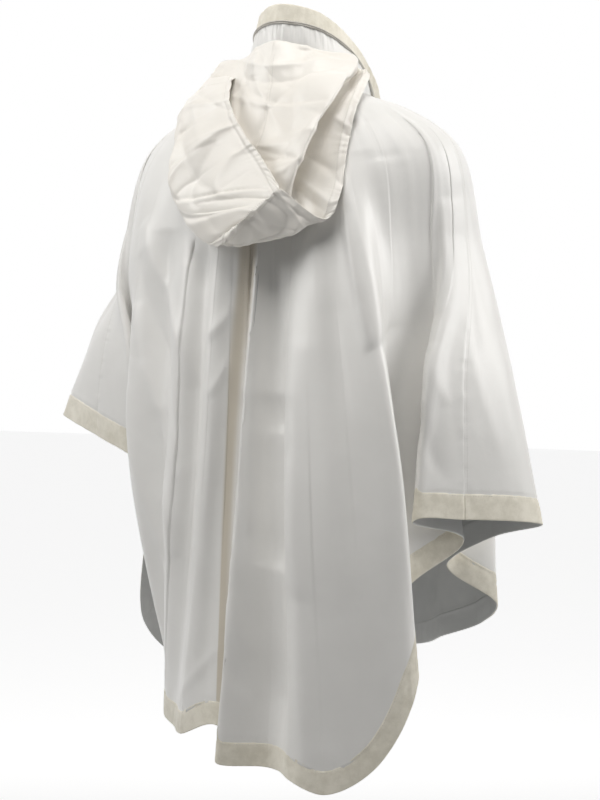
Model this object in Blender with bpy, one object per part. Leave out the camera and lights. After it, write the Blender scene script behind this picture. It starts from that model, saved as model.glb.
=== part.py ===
"""A hooded cape as it hangs on its wearer, in metres, +Z up.

The origin is the middle of the neck at the height where neck and shoulder meet. The wearer
faces -Y, so the back is at +Y, the wearer's right at -X and the left at +X. Each cloth piece is
a wall with two faces. The whole cape is one curved surface that hangs from the neck seam, and
its fold lines run down it: a row of FOLDS says where one fold lies at the chest, halfway down
and at the hem. Each panel and each hem band is a stretch of that surface, so neighbours meet
edge to edge at their seams.
"""
import math

import bpy
import numpy as np

MM = 0.001

# Cloth
WALL = 1.8              # shell, lining and turnings together
BAND_WALL = 2.2         # suede-like band, folded round the edge
HOOD_WALL = 1.4         # shell and lining alone
SEAM_GAP = 0.3
HEM_BAND = 28.0
CUFF_BAND = 31.0
FRONT_BAND = 26.0
LEAST_SLANT = 0.5       # how far the bands widen down the lines where the hem runs aslant
LEAST_SEAM_SLANT = 0.2  # the same for the gap above them
SEAM_STEPS = (-0.25, -0.12, 0.12, 0.25)   # in lines, where the seam's direction is measured

# Cloths: name, colour, roughness
SHELL = ("shell", (0.86, 0.85, 0.82), 0.45)
SUEDE = ("suede", (0.78, 0.74, 0.62), 0.9)
PIPING = ("piping", (0.55, 0.54, 0.52), 0.5)

CHEST_Z = -190.0
FOLD_ROUNDNESS = 0.62   # how full the turn of a sharp fold is
HOOD_ROUNDNESS = 0.6
KNOT_POWER = 0.75

# The cape over the shoulders: oval rings that every fold line passes
YOKE = (
    # name, half_width, back, front, side_z, back_z, front_z
    ("shoulder slope", 142.0, 92.0, 104.0, -22.0, -28.0, -84.0),
    ("shoulder point", 207.0, 108.0, 120.0, -62.0, -96.0, -132.0),
)

# Fold lines from the right front edge round the back to the left front edge.
# x and y at chest height, halfway down and at the hem, and the hem's height there. The last
# column is the number of mesh columns up to the next line.
FOLDS = (
    # name, chest_x, chest_y, half_x, half_y, hem_x, hem_y, hem_z, columns
    ("right front edge", -6, -134, -6, -158, -6, -168, -708, 3),
    ("right front ridge", -66, -140, -74, -170, -76, -182, -704, 3),
    ("right front hollow", -112, -120, -124, -138, -134, -132, -684, 3),
    ("right front turn", -152, -103, -188, -118, -198, -116, -660, 3),
    ("right front corner", -176, -88, -212, -90, -231, -87, -632, 4),
    ("right front tuck", -196, -72, -200, -56, -189, -34, -581, 4),
    ("right wing front", -214, -56, -238, -52, -246, -38, -545, 3),
    ("right wing tip", -237, -27, -282, -24, -320, -23, -525, 4),
    ("right overarm seam", -233, 6, -256, 60, -261, 66, -514, 3),
    ("right wing back edge", -222, 24, -229, 88, -218, 111, -514, 4),
    ("right tuck end", -204, 42, -219, 50, -248, 41, -541, 4),
    ("right tuck inside", -166, 78, -180, 106, -196, 98, -604, 4),
    ("right back corner", -150, 116, -214, 142, -232, 130, -705, 4),
    ("right back flat", -112, 124, -166, 164, -190, 166, -804, 3),
    ("right back low point", -82, 127, -118, 176, -142, 188, -830, 3),
    ("right back ridge", -52, 120, -80, 176, -99, 196, -817, 3),
    ("right back trough", -30, 126, -47, 160, -56, 180, -808, 3),
    ("overlapping ridge", -10, 130, -9, 173, -4, 208, -801, 5),
    ("centre back seam", 0, 125, -3, 154, -16, 176, -781, 3),
    ("seam strip", 18, 127, 13, 158, 16, 176, -764, 3),
    ("left inner ridge", 36, 130, 38, 168, 74, 162, -782, 3),
    ("left inner hollow", 56, 121, 62, 148, 98, 140, -778, 3),
    ("left outer ridge", 80, 124, 88, 152, 128, 112, -770, 3),
    ("left outer hollow", 124, 106, 132, 118, 146, 80, -748, 3),
    ("left back corner", 168, 98, 192, 92, 160, 48, -712, 4),
    ("left tuck inside", 204, 74, 172, 58, 150, 20, -640, 4),
    ("left tuck end", 219, 52, 214, 32, 206, 0, -530, 4),
    ("left wing back edge", 231, 48, 208, 66, 196, 58, -468, 4),
    ("left overarm seam", 240, 18, 262, 44, 285, 36, -431, 3),
    ("left wing tip", 246, -6, 316, -8, 368, -12, -409, 3),
    ("left wing front", 236, -36, 290, -44, 330, -48, -428, 3),
    ("left wing fall", 222, -58, 258, -74, 290, -58, -470, 3),
    ("left front drop", 204, -78, 226, -104, 276, -62, -560, 4),
    ("left front corner", 182, -94, 206, -122, 284, -76, -690, 4),
    ("left front turn", 150, -108, 176, -140, 256, -118, -738, 3),
    ("left front hollow", 112, -122, 124, -150, 176, -154, -744, 3),
    ("left front ridge", 66, -140, 74, -174, 84, -186, -740, 3),
    ("left front edge", 6, -134, 6, -158, 6, -168, -726, 0),
)
RIGHT_OVERARM = 8
CENTRE_BACK = 18
LEFT_OVERARM = 28

# How far down its line each ring of FOLDS lies, from neck seam to hem
STATIONS = (0.0, 0.10, 0.20, 0.37, 0.685, 1.0)
PANEL_ROWS = (0.0, 0.05, 0.10, 0.15, 0.20, 0.285, 0.37, 0.448, 0.527, 0.606, 0.685, 0.764,
              0.843, 0.921, 1.0)

# The collar from its front end round to the centre back, left half; the right half mirrors it
COLLAR = (
    # name, neck_x, neck_y, neck_z, top_x, top_y, top_z
    ("front end", 15.0, -104.0, -72.0, 52.0, -126.0, -34.0),
    ("front side", 58.0, -66.0, -30.0, 71.0, -63.0, 22.0),
    ("side", 75.0, -6.0, 2.0, 60.0, -14.0, 70.0),
    ("back side", 50.0, 40.0, 12.0, 39.5, 28.5, 97.0),
    ("centre back", 0.0, 60.0, 15.0, 0.0, 50.0, 106.0),
)
COLLAR_BAND = 23.0
COLLAR_BULGE = 1.8
COLLAR_LIFT = 1.9       # the stand's foot clears the cape's own wall
GATHERS = 22
GATHER_DEPTH = 0.9
PIPING_RADIUS = 1.2
PIPING_SIDES = 6
PIPING_PROUD = 0.3

# The hood's lines, from the left edge of its opening across the nape to the right edge. It is
# sewn to the collar at the first place, rolls over, lies down the back, turns up at the bottom
# and ends in the seam over the crown, where its two halves meet.
HOOD = (
    # name, neck_seam, roll, upper, middle, lower, bottom, crown_seam, columns
    ("left rim", (75, -8.5, 29.3),
     (78, 18, 48), (54, 75, 26), (36, 112, -14), (2, 134, -52), (-35, 152, -87),
     (-71, 170, -125), 6),
    ("left roll", (70.2, 6.8, 36),
     (94, 24, 40), (104, 54, 14), (118, 86, -27), (114, 116, -87), (80, 140, -150),
     (-48, 178, -145), 4),
    ("left back", (48.2, 41.7, 47),
     (52, 48, 32), (63, 63, 8), (64, 104, -42), (66, 117, -110), (46, 145, -188),
     (-21, 174, -165), 5),
    ("nape seam", (0, 61, 60.3),
     (-2, 74, 34), (-8, 90, -2), (-12, 116, -60), (0, 136, -120), (20, 150, -188),
     (8, 166, -184), 5),
    ("right fold", (-60.5, 27.2, 41.9),
     (-84, 12, 38), (-104, 76, 2), (-90, 121, -54), (-78, 146, -110), (-42, 150, -186),
     (-21, 174, -165), 4),
    ("fold return", (-72, 1.6, 34.1),
     (-82, 0, 24), (-78, 64, -4), (-66, 108, -62), (-60, 126, -118), (-84, 150, -176),
     (-48, 178, -145), 5),
    ("right rim", (-77.2, -20.4, 21.4),
     (-98, 0, 22), (-120, 70, -22), (-122, 97, -70), (-127, 127, -133), (-110, 142, -160),
     (-71, 170, -125), 0),
)
HOOD_STATIONS = (0.0, 0.09, 0.24, 0.42, 0.60, 0.82, 1.0)
HOOD_ROWS = 24
NAPE_SEAM = 3
CROWN_GAP = 1.2


def clear_scene():
    for old in list(bpy.data.objects):
        bpy.data.objects.remove(old, do_unlink=True)


def slopes(points, knots, roundness=0.0):
    """Slopes of a curve through points, for any knots; roundness keeps sharp turns open."""
    steps = np.diff(knots, axis=0)
    chords = np.diff(points, axis=0) / steps
    middle = (chords[:-1] * steps[1:] + chords[1:] * steps[:-1]) / (steps[:-1] + steps[1:])
    if roundness:
        speeds = np.linalg.norm(chords, axis=1)
        least = roundness * np.minimum(speeds[:-1], speeds[1:])
        size = np.linalg.norm(middle, axis=1)
        middle = middle * np.maximum(1.0, least / np.maximum(size, 1e-9))[:, None]
    return np.concatenate([chords[:1], middle, chords[-1:]])


def hermite(a, b, slope_a, slope_b, step, f):
    """A cubic from a to b, f of the way along."""
    return (a * (1 + 2 * f) * (1 - f) ** 2 + slope_a * step * f * (1 - f) ** 2
            + b * f * f * (3 - 2 * f) + slope_b * step * f * f * (f - 1))


def curve_at(points, knots, where):
    """The smooth curve through points, each at its knot, read at where."""
    k = int(np.clip(np.searchsorted(knots, where, side="right") - 1, 0, len(knots) - 2))
    grads = slopes(points, knots.reshape((-1,) + (1,) * (points.ndim - 1)))
    step = knots[k + 1] - knots[k]
    return hermite(points[k], points[k + 1], grads[k], grads[k + 1], step,
                   (where - knots[k]) / step)


class Surface:
    """A sheet through fold lines: u counts lines across, t runs down from 0 to 1."""

    def __init__(self, lines, stations, roundness):
        self.lines = np.asarray(lines, float)
        self.stations = np.asarray(stations, float)
        self.roundness = roundness
        self.rings = {}

    def ring(self, t):
        """The lines' points at t, and the knots and slopes of the curve through them."""
        if t not in self.rings:
            by_station = np.swapaxes(self.lines, 0, 1)
            points = curve_at(by_station, self.stations, t)
            gaps = np.linalg.norm(np.diff(points, axis=0), axis=1) ** KNOT_POWER
            knots = np.concatenate([[0.0], np.cumsum(np.maximum(gaps, 1e-6))])
            self.rings[t] = (points, knots, slopes(points, knots[:, None], self.roundness))
        return self.rings[t]

    def at(self, u, t):
        points, knots, grads = self.ring(round(float(t), 7))
        k = int(np.clip(math.floor(u), 0, len(points) - 2))
        return hermite(points[k], points[k + 1], grads[k], grads[k + 1],
                       knots[k + 1] - knots[k], u - k)

    def frame(self, u, t):
        """Point, outward normal and the speeds across and down."""
        du = 0.02
        dt = 0.002
        low_u, high_u = max(u - du, 0.0), min(u + du, len(self.lines) - 1.0)
        low_t, high_t = max(t - dt, 0.0), min(t + dt, 1.0)
        across = (self.at(high_u, t) - self.at(low_u, t)) / (high_u - low_u)
        down = (self.at(u, high_t) - self.at(u, low_t)) / (high_t - low_t)
        normal = np.cross(across, down)
        return self.at(u, t), normal / np.linalg.norm(normal), across, down


def wall_mesh(name, points, normals, thickness, cloth):
    """A closed wall from a grid of middle points, half its thickness to either side."""
    points = np.asarray(points, float)
    normals = np.asarray(normals, float)
    rows, cols = points.shape[:2]
    outer = points + normals * thickness / 2
    inner = points - normals * thickness / 2
    verts = np.concatenate([outer.reshape(-1, 3), inner.reshape(-1, 3)]) * MM
    side = rows * cols
    faces = []
    for i in range(rows - 1):
        for j in range(cols - 1):
            a, b, c, d = i * cols + j, i * cols + j + 1, (i + 1) * cols + j + 1, (i + 1) * cols + j
            faces.append((a, b, c, d))
            faces.append((a + side, d + side, c + side, b + side))
    rim = list(range(cols))
    rim += [i * cols + cols - 1 for i in range(1, rows)]
    rim += [(rows - 1) * cols + j for j in range(cols - 2, -1, -1)]
    rim += [i * cols for i in range(rows - 2, 0, -1)]
    # Each rim face is cut along the same diagonal as the one that faces it across a seam
    for a, b in zip(rim, rim[1:] + rim[:1]):
        if a < b:
            faces.append((b, a, b + side))
            faces.append((a, a + side, b + side))
        else:
            faces.append((b, a, a + side))
            faces.append((b, a + side, b + side))
    add_object(name, verts, faces, cloth)


def add_object(name, verts, faces, cloth):
    cloth_name, colour, roughness = cloth
    mesh = bpy.data.meshes.new(name)
    mesh.from_pydata([tuple(v) for v in verts], [], faces)
    mesh.validate()
    mesh.shade_smooth()
    mesh.set_sharp_from_angle(angle=math.radians(50))
    obj = bpy.data.objects.new(name, mesh)
    bpy.context.scene.collection.objects.link(obj)
    material = bpy.data.materials.get(cloth_name) or bpy.data.materials.new(cloth_name)
    material.use_nodes = True
    shader = material.node_tree.nodes["Principled BSDF"]
    shader.inputs["Base Color"].default_value = (*colour, 1.0)
    shader.inputs["Roughness"].default_value = roughness
    shader.inputs["Metallic"].default_value = 0.0
    mesh.materials.append(material)


def collar_lines(kind):
    """Neck seam or top edge of the collar, right front end round the back to the left."""
    shift = 1 if kind == "neck" else 4
    left = [np.array(row[shift:shift + 3]) for row in COLLAR]
    right = [point * np.array([-1.0, 1.0, 1.0]) for point in left]
    return np.array(right + left[-2::-1])


def neck_point(angle):
    """The neck seam where it lies in this direction from the neck's middle."""
    seam = collar_lines("neck")
    knots = np.arange(len(seam), dtype=float)
    fine = np.array([curve_at(seam, knots, k) for k in np.linspace(0, len(seam) - 1, 161)])
    angles = np.arctan2(fine[:, 0], fine[:, 1] + 20.0)
    return np.array([np.interp(angle, angles, fine[:, axis]) for axis in range(3)])


def yoke_point(ring, angle):
    """A point of an oval shoulder ring in this direction, 0 at the back."""
    _, width, back, front, side_z, back_z, front_z = ring
    s, c = math.sin(angle), math.cos(angle)
    depth = back if c > 0 else front
    end_z = back_z if c > 0 else front_z
    reach = 1.0 / math.hypot(s / width, c / depth)
    x, y = s * reach, c * reach
    share = (y / depth) ** 2
    return np.array([x, y, side_z * (1 - share) + end_z * share])


def body_surface():
    lines = []
    for row in FOLDS:
        _, chest_x, chest_y, half_x, half_y, hem_x, hem_y, hem_z, _ = row
        angle = math.atan2(chest_x, chest_y)
        lines.append([
            neck_point(angle),
            yoke_point(YOKE[0], angle),
            yoke_point(YOKE[1], angle),
            np.array([chest_x, chest_y, CHEST_Z]),
            np.array([half_x, half_y, (CHEST_Z + hem_z) / 2]),
            np.array([hem_x, hem_y, hem_z]),
        ])
    return Surface(lines, STATIONS, FOLD_ROUNDNESS)


def columns_between(first, last):
    """Places across the cape from one line to another, at the columns that FOLDS gives."""
    places = []
    for k in range(first, last):
        places += spread(k, FOLDS[k][-1])
    return places + [float(last)]


def spread(line, count):
    """Places from one line up to the next, closer together near the lines, where folds turn."""
    return [line + (1 - math.cos(math.pi * i / count)) / 2 for i in range(count)]


def band_width(u):
    """The band is a little wider on the wings than on the hem."""
    right = math.exp(-((u - (RIGHT_OVERARM - 0.5)) / 1.8) ** 2)
    left = math.exp(-((u - (LEFT_OVERARM + 0.5)) / 1.8) ** 2)
    return HEM_BAND + (CUFF_BAND - HEM_BAND) * max(right, left)


def stretch(surface, places, rows_at, gap_first=SEAM_GAP, gap_last=SEAM_GAP):
    """Middle points and normals of a piece of the surface, kept back from its seams."""
    points, normals = [], []
    for i in range(len(rows_at(1.0))):
        row_points, row_normals = [], []
        for j, place in enumerate(places):
            u = place if isinstance(place, float) else place(rows_at(0.0)[i])
            t = rows_at(u)[i]
            across = np.linalg.norm(surface.frame(u, t)[2])
            if j == 0:
                u += gap_first / 2 / across
            if j == len(places) - 1:
                u -= gap_last / 2 / across
            point, normal, _, _ = surface.frame(u, t)
            row_points.append(point)
            row_normals.append(normal)
        points.append(row_points)
        normals.append(row_normals)
    return points, normals


def step_across_hem(surface, u):
    """Length square to the hem for a step of 1 down the line, where the line meets it aslant."""
    du = 0.05
    last = len(surface.lines) - 1.0
    hem = surface.at(min(u + du, last), 1.0) - surface.at(max(u - du, 0.0), 1.0)
    down = surface.frame(u, 0.985)[3]
    square = np.linalg.norm(np.cross(down, hem)) / np.linalg.norm(hem)
    return max(square, LEAST_SLANT * np.linalg.norm(down))


def band_top(surface, u):
    """How far down the line the hem band begins."""
    return 1.0 - band_width(u) / step_across_hem(surface, u)


def gap_above_band(surface, u):
    """The part of the line between panel and band, so that the gap is right square to the seam."""
    here, _, _, down = surface.frame(u, band_top(surface, u))
    least = np.linalg.norm(down)
    for step in SEAM_STEPS:
        beside = u + step
        if 0.0 <= beside <= len(surface.lines) - 1.0:
            seam = surface.at(beside, band_top(surface, beside)) - here
            least = min(least, np.linalg.norm(np.cross(down, seam)) / np.linalg.norm(seam))
    return SEAM_GAP / max(least, LEAST_SEAM_SLANT * np.linalg.norm(down))


def panel_rows(surface):
    def rows(u):
        end = band_top(surface, u) - gap_above_band(surface, u)
        return [end * share for share in PANEL_ROWS]
    return rows


def band_rows(surface):
    def rows(u):
        start = band_top(surface, u)
        return [start, (start + 1.0) / 2, 1.0]
    return rows


def edge_place(surface, side, share):
    """Where the front edge band, or a share of its width, ends at each height."""
    last = len(FOLDS) - 1.0

    def place(t):
        edge = 0.0 if side == "right" else last
        width = share * FRONT_BAND / np.linalg.norm(surface.frame(edge, t)[2])
        return width if side == "right" else last - width
    return place


def make_body():
    surface = body_surface()
    last = len(FOLDS) - 1
    right_edge = edge_place(surface, "right", 1.0)
    left_edge = edge_place(surface, "left", 1.0)
    right_middle = edge_place(surface, "right", 0.5)
    left_middle = edge_place(surface, "left", 0.5)
    right_columns = columns_between(0, RIGHT_OVERARM)
    left_columns = columns_between(LEFT_OVERARM, last)
    panels = (
        ("edge_right", [0.0, right_middle, right_edge], SUEDE),
        ("front_right", [right_edge] + [u for u in right_columns if u > 0.9], SHELL),
        ("back_right", columns_between(RIGHT_OVERARM, CENTRE_BACK), SHELL),
        ("back_left", columns_between(CENTRE_BACK, LEFT_OVERARM), SHELL),
        ("front_left", [u for u in left_columns if u < last - 0.9] + [left_edge], SHELL),
        ("edge_left", [left_edge, left_middle, float(last)], SUEDE),
    )
    for name, places, cloth in panels:
        points, normals = stretch(surface, places, panel_rows(surface))
        wall_mesh(name, points, normals, WALL, cloth)
    bands = (
        ("band_front_right", right_columns),
        ("band_back_right", columns_between(RIGHT_OVERARM, CENTRE_BACK)),
        ("band_back_left", columns_between(CENTRE_BACK, LEFT_OVERARM)),
        ("band_front_left", left_columns),
    )
    for name, places in bands:
        points, normals = stretch(surface, places, band_rows(surface))
        wall_mesh(name, points, normals, BAND_WALL, SUEDE)


def collar_surface():
    """The collar from its top edge down to the neck seam, right front end to left front end."""
    top = collar_lines("top")
    neck = collar_lines("neck")
    neck[:, 2] += COLLAR_LIFT
    middle = (top + neck) / 2
    outward = middle * np.array([1.0, 1.0, 0.0]) + np.array([0.0, 20.0, 0.0])
    middle += COLLAR_BULGE * outward / np.linalg.norm(outward, axis=1)[:, None]
    return Surface(np.stack([top, middle, neck], axis=1), (0.0, 0.5, 1.0), 0.0)


def below_top(surface, u, drop):
    """How far down the collar a line lies that is this far below the top edge."""
    return drop / np.linalg.norm(surface.frame(u, 0.3)[3])


def make_collar():
    surface = collar_surface()

    def band(u):
        end = below_top(surface, u, COLLAR_BAND)
        return [0.0, end / 2, end]

    def stand(u):
        start = below_top(surface, u, COLLAR_BAND + SEAM_GAP)
        return [start + (1.0 - start) * share for share in (0.0, 0.34, 0.67, 1.0)]

    last = float(2 * (len(COLLAR) - 1))
    fine = [last * i / (GATHERS * 4) for i in range(GATHERS * 4 + 1)]
    points, normals = stretch(surface, fine, band)
    wall_mesh("collar_band", points, normals, BAND_WALL, SUEDE)

    points, normals = stretch(surface, fine, stand)
    waves = (0.0, 1.0, 0.5, 0.0)
    for i, share in enumerate(waves):
        for j in range(len(fine)):
            ripple = GATHER_DEPTH * share * math.sin(j * math.pi / 2)
            points[i][j] = points[i][j] + normals[i][j] * ripple
    wall_mesh("collar_stand", points, normals, WALL, SHELL)

    out = BAND_WALL / 2 + SEAM_GAP + PIPING_RADIUS + PIPING_PROUD
    route = []
    for u in fine[2:-2:2]:
        point, normal, _, _ = surface.frame(u, below_top(surface, u, COLLAR_BAND))
        route.append(point + normal * out)
    tube("collar_piping", np.array(route), PIPING_RADIUS, PIPING_SIDES, PIPING)


def tube(name, route, radius, sides, cloth):
    """A round cord along a route, closed at both ends."""
    along = np.gradient(route, axis=0)
    along /= np.linalg.norm(along, axis=1)[:, None]
    across = np.cross(along, np.array([0.0, 0.0, 1.0]))
    across /= np.linalg.norm(across, axis=1)[:, None]
    upward = np.cross(across, along)
    turns = np.arange(sides) * 2 * math.pi / sides
    verts = [point + radius * (math.cos(a) * side + math.sin(a) * lift)
             for point, side, lift in zip(route, across, upward) for a in turns]
    faces = []
    for i in range(len(route) - 1):
        for j in range(sides):
            k = (j + 1) % sides
            faces.append((i * sides + j, (i + 1) * sides + j, (i + 1) * sides + k, i * sides + k))
    faces.append(tuple(range(sides)))
    faces.append(tuple((len(route) - 1) * sides + j for j in reversed(range(sides))))
    add_object(name, np.array(verts) * MM, faces, cloth)


def hood_surface():
    lines = [[np.array(station, float) for station in row[1:8]] for row in HOOD]
    return Surface(lines, HOOD_STATIONS, HOOD_ROUNDNESS)


def make_hood():
    surface = hood_surface()

    def rows(u):
        down = np.linalg.norm(surface.frame(u, 0.97)[3])
        end = 1.0 - CROWN_GAP / down
        return [end * i / HOOD_ROWS for i in range(HOOD_ROWS + 1)]

    halves = (("hood_left", 0, NAPE_SEAM), ("hood_right", NAPE_SEAM, len(HOOD) - 1))
    for name, first, end in halves:
        places = []
        for k in range(first, end):
            places += spread(k, HOOD[k][-1])
        points, normals = stretch(surface, places + [float(end)], rows)
        wall_mesh(name, points, normals, HOOD_WALL, SHELL)


clear_scene()
make_body()
make_collar()
make_hood()
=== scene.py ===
import math

import bpy
import numpy as np
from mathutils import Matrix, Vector


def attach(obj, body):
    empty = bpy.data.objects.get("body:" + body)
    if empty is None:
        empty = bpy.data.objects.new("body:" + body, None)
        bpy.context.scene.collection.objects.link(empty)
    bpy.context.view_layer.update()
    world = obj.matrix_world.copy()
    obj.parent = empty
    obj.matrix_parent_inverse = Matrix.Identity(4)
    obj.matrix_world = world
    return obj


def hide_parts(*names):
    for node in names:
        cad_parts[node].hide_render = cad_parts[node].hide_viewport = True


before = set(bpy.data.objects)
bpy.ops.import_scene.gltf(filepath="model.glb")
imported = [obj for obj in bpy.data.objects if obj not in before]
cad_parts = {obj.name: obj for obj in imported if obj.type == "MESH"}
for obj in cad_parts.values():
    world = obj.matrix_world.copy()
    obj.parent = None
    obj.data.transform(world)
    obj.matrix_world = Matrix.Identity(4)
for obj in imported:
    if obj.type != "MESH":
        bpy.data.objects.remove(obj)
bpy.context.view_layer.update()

# The back of the cape: two halves of a satin-faced shell with a silver lining behind it, cut
# like a poncho and joined in a topstitched centre back seam. They hang from neck and shoulders
# in deep folds. FOLDS gives each fold's line at the chest, halfway down and at the hem, YOKE the
# rings over the shoulders and COLLAR the lower and upper edge of the collar, all in mm.
FOLDS = (
    # name, chest_x, chest_y, half_x, half_y, hem_x, hem_y, hem_z
    ("right front edge", -6, -134, -6, -158, -6, -168, -708),
    ("right front ridge", -66, -140, -74, -170, -76, -182, -704),
    ("right front hollow", -112, -120, -124, -138, -134, -132, -684),
    ("right front turn", -152, -103, -188, -118, -198, -116, -660),
    ("right front corner", -176, -88, -212, -90, -231, -87, -632),
    ("right front tuck", -196, -72, -200, -56, -189, -34, -581),
    ("right wing front", -214, -56, -238, -52, -246, -38, -545),
    ("right wing tip", -237, -27, -282, -24, -320, -23, -525),
    ("right overarm seam", -233, 6, -256, 60, -261, 66, -514),
    ("right wing back edge", -222, 24, -229, 88, -218, 111, -514),
    ("right tuck end", -204, 42, -219, 50, -248, 41, -541),
    ("right tuck inside", -166, 78, -180, 106, -196, 98, -604),
    ("right back corner", -150, 116, -214, 142, -232, 130, -705),
    ("right back flat", -112, 124, -166, 164, -190, 166, -804),
    ("right back low point", -82, 127, -118, 176, -142, 188, -830),
    ("right back ridge", -52, 120, -80, 176, -99, 196, -817),
    ("right back trough", -30, 126, -47, 160, -56, 180, -808),
    ("overlapping ridge", -10, 130, -9, 173, -4, 208, -801),
    ("centre back seam", 0, 125, -3, 154, -16, 176, -781),
    ("seam strip", 18, 127, 13, 158, 16, 176, -764),
    ("left inner ridge", 36, 130, 38, 168, 74, 162, -782),
    ("left inner hollow", 56, 121, 62, 148, 98, 140, -778),
    ("left outer ridge", 80, 124, 88, 152, 128, 112, -770),
    ("left outer hollow", 124, 106, 132, 118, 146, 80, -748),
    ("left back corner", 168, 98, 192, 92, 160, 48, -712),
    ("left tuck inside", 204, 74, 172, 58, 150, 20, -640),
    ("left tuck end", 219, 52, 214, 32, 206, 0, -530),
    ("left wing back edge", 231, 48, 208, 66, 196, 58, -468),
    ("left overarm seam", 240, 18, 262, 44, 285, 36, -431),
    ("left wing tip", 246, -6, 316, -8, 368, -12, -409),
    ("left wing front", 236, -36, 290, -44, 330, -48, -428),
    ("left wing fall", 222, -58, 258, -74, 290, -58, -470),
    ("left front drop", 204, -78, 226, -104, 276, -62, -560),
    ("left front corner", 182, -94, 206, -122, 284, -76, -690),
    ("left front turn", 150, -108, 176, -140, 256, -118, -738),
    ("left front hollow", 112, -122, 124, -150, 176, -154, -744),
    ("left front ridge", 66, -140, 74, -174, 84, -186, -740),
    ("left front edge", 6, -134, 6, -158, 6, -168, -726),
)
YOKE = (
    # name, half_width, back, front, side_z, back_z, front_z
    ("shoulder slope", 142.0, 92.0, 104.0, -22.0, -28.0, -84.0),
    ("shoulder point", 207.0, 108.0, 120.0, -62.0, -96.0, -132.0),
)
COLLAR = (
    # name, neck_x, neck_y, neck_z, top_x, top_y, top_z
    ("front end", 15.0, -104.0, -72.0, 52.0, -126.0, -34.0),
    ("front side", 58.0, -66.0, -30.0, 71.0, -63.0, 22.0),
    ("side", 75.0, -6.0, 2.0, 60.0, -14.0, 70.0),
    ("back side", 50.0, 40.0, 12.0, 39.5, 28.5, 97.0),
    ("centre back", 0.0, 60.0, 15.0, 0.0, 50.0, 106.0),
)
CHEST_Z = -190.0
NECK_MIDDLE_Y = -20.0
CAPE_STATIONS = (0.0, 0.10, 0.20, 0.37, 0.685, 1.0)
fold_names = [row[0] for row in FOLDS]
RIGHT_OVERARM = fold_names.index("right overarm seam")
CENTRE_BACK = fold_names.index("centre back seam")
LEFT_OVERARM = fold_names.index("left overarm seam")
LAST_LINE = len(FOLDS) - 1
MM = 0.001


def hermite(a, b, slope_a, slope_b, step, f):
    """A smooth run from a to b with given slopes at its ends, read at the share f."""
    return (a * (1 + 2 * f) * (1 - f) ** 2 + slope_a * step * f * (1 - f) ** 2
            + b * f * f * (3 - 2 * f) + slope_b * step * f * f * (f - 1))


class Sheet:
    """A curved sheet through fold lines: u counts the lines across, t runs down from 0 to 1."""
    gap_power = 0.75        # how strongly wide gaps between lines count against narrow ones
    small_u, small_t = 0.02, 0.002

    def __init__(self, lines, stations, roundness):
        self.lines = np.asarray(lines, float)
        self.stations = np.asarray(stations, float)
        self.roundness = roundness
        steps = np.diff(self.stations)[None, :, None]
        chords = np.diff(self.lines, axis=1) / steps
        inner = (chords[:, :-1] * steps[:, 1:] + chords[:, 1:] * steps[:, :-1])
        inner = inner / (steps[:, :-1] + steps[:, 1:])
        self.grads = np.concatenate([chords[:, :1], inner, chords[:, -1:]], axis=1)

    def line_at(self, k, t):
        s = np.clip(np.searchsorted(self.stations, t, side="right") - 1,
                    0, len(self.stations) - 2)
        step = (self.stations[s + 1] - self.stations[s])[..., None]
        f = (t - self.stations[s])[..., None] / step
        return hermite(self.lines[k, s], self.lines[k, s + 1],
                       self.grads[k, s], self.grads[k, s + 1], step, f)

    def at(self, u, t):
        u, t = np.broadcast_arrays(np.asarray(u, float), np.asarray(t, float))
        count = len(self.lines)
        k = np.clip(np.floor(u).astype(int), 0, count - 2)
        points = [self.line_at(np.clip(k + m, 0, count - 1), t) for m in (-1, 0, 1, 2)]
        gaps, chords = [], []
        for a, b in zip(points, points[1:]):
            gap = np.linalg.norm(b - a, axis=-1, keepdims=True) ** self.gap_power
            gaps.append(np.maximum(gap, 1e-6))
            chords.append((b - a) / gaps[-1])
        slopes = []
        for m in (0, 1):
            blend = (chords[m] * gaps[m + 1] + chords[m + 1] * gaps[m]) / (gaps[m] + gaps[m + 1])
            speeds = [np.linalg.norm(c, axis=-1, keepdims=True) for c in chords[m:m + 2]]
            least = self.roundness * np.minimum(*speeds)
            size = np.linalg.norm(blend, axis=-1, keepdims=True)
            slopes.append(blend * np.maximum(1.0, least / np.maximum(size, 1e-9)))
        at_start, at_end = (k == 0)[..., None], (k == count - 2)[..., None]
        first = np.where(at_start, chords[1], slopes[0])
        second = np.where(at_end, chords[1], slopes[1])
        return hermite(points[1], points[2], first, second, gaps[1], (u - k)[..., None])

    def frame(self, u, t):
        """Points, outward normals and the speeds across and down."""
        u, t = np.broadcast_arrays(np.asarray(u, float), np.asarray(t, float))
        last = len(self.lines) - 1.0
        low_u, high_u = np.maximum(u - self.small_u, 0.0), np.minimum(u + self.small_u, last)
        low_t, high_t = np.maximum(t - self.small_t, 0.0), np.minimum(t + self.small_t, 1.0)
        across = (self.at(high_u, t) - self.at(low_u, t)) / (high_u - low_u)[..., None]
        down = (self.at(u, high_t) - self.at(u, low_t)) / (high_t - low_t)[..., None]
        normal = np.cross(across, down)
        normal /= np.maximum(np.linalg.norm(normal, axis=-1, keepdims=True), 1e-9)
        return self.at(u, t), normal, across, down


def curve_through(points):
    """Evenly counted points, as a sheet of one line that can be read anywhere."""
    line = Sheet([points, points], np.arange(len(points), dtype=float), 0.0)
    return lambda k: line.line_at(np.zeros(np.shape(k), int), np.asarray(k, float))


def collar_line(kind):
    """The collar's lower ("neck") or upper ("top") edge, from its right end to its left."""
    shift = 1 if kind == "neck" else 4
    left = [np.array(row[shift:shift + 3]) for row in COLLAR]
    right = [point * np.array([-1.0, 1.0, 1.0]) for point in left]
    return np.array(right + left[-2::-1])


neck_fine = curve_through(collar_line("neck"))(np.linspace(0, 8, 161))
neck_angles = np.arctan2(neck_fine[:, 0], neck_fine[:, 1] - NECK_MIDDLE_Y)


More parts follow.
